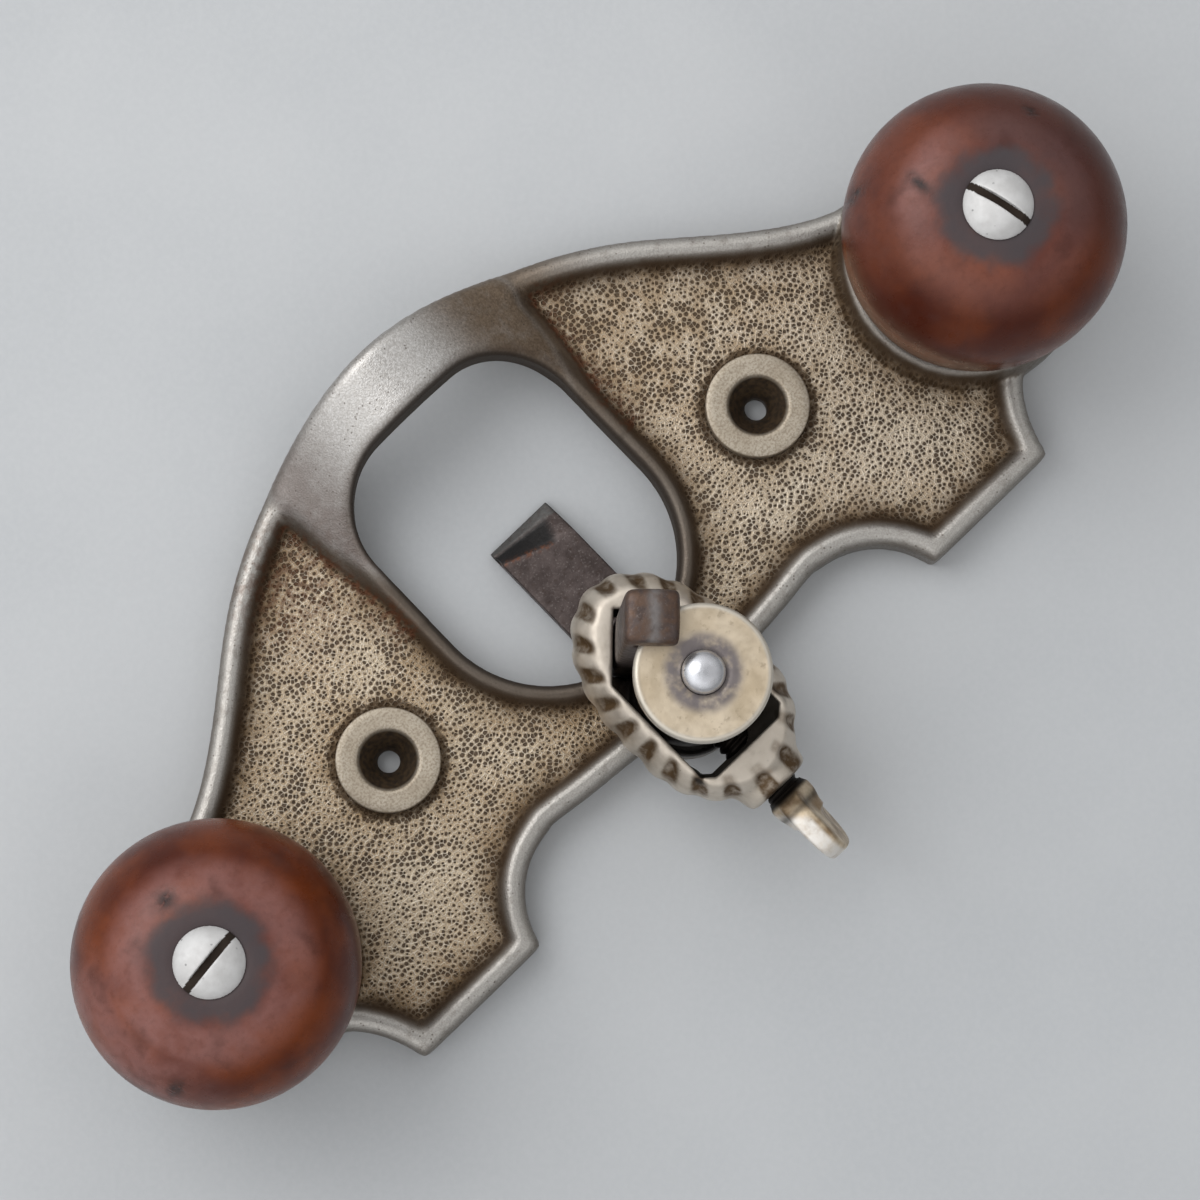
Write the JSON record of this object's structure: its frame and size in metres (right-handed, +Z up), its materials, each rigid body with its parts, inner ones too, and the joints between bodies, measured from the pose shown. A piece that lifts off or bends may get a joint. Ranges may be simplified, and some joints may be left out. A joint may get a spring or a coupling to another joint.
{
  "type": "hand router plane",
  "caption": "Hand router plane with an arched open-throat cast sole, two turned wooden knobs and a square-shanked cutter clamped to a post, its depth set by a nut on a stud.",
  "frame": {"origin": "on the sole face, midway between the two knob axes", "axes": "+X to the right knob as the tool is held, +Y to the arched front of the throat, +Z up"},
  "size_m": [0.1928, 0.1012, 0.0564],
  "materials": {
    "casting": "worn nickel plate, stippled panels and smooth rims",
    "dark_steel": "dark steel with light rust",
    "bright_steel": "polished",
    "worn_nickel": "worn satin",
    "collar_nickel": "worn nickel plate with dirt in the flutes",
    "tarnished_brass": "tarnished",
    "hardwood": "polished reddish-brown"
  },
  "bodies": {
    "frame": {"base": "casting", "cutter_post": "dark_steel", "adjusting_stud": "bright_steel", "left_knob": "hardwood", "right_knob": "hardwood", "left_knob_screw": "bright_steel", "right_knob_screw": "bright_steel"},
    "cutter": {"cutter": "dark_steel"},
    "nut": {"adjusting_nut": "worn_nickel"},
    "collar": {"clamp_collar": "collar_nickel"},
    "thumbscrew": {"thumbscrew": "tarnished_brass"}
  },
  "joints": [
    {"name": "cutter_depth", "type": "slide", "parent": "frame", "child": "cutter", "axis": [0, 0, 1], "range_m": [-0.0119, 0.00145]},
    {"name": "nut_turn", "type": "hinge", "parent": "cutter", "child": "nut", "pos_m": [0, -0.0185, 0.05], "axis": [0, 0, 1], "range_deg": [-3400, 420]},
    {"name": "thumbscrew_turn", "type": "hinge", "parent": "frame", "child": "thumbscrew", "pos_m": [0, -0.04, 0.0148], "axis": [0, -1, 0], "range_deg": [0, 520]},
    {"name": "collar_clamp", "type": "slide", "parent": "frame", "child": "collar", "axis": [0, 1, 0], "range_m": [0, 0.0018]}
  ],
  "couplings": [
    {"joint": "nut_turn", "follows": "cutter_depth", "rad_per_m": 4947.4},
    {"joint": "thumbscrew_turn", "follows": "collar_clamp", "rad_per_m": 4947.4}
  ]
}
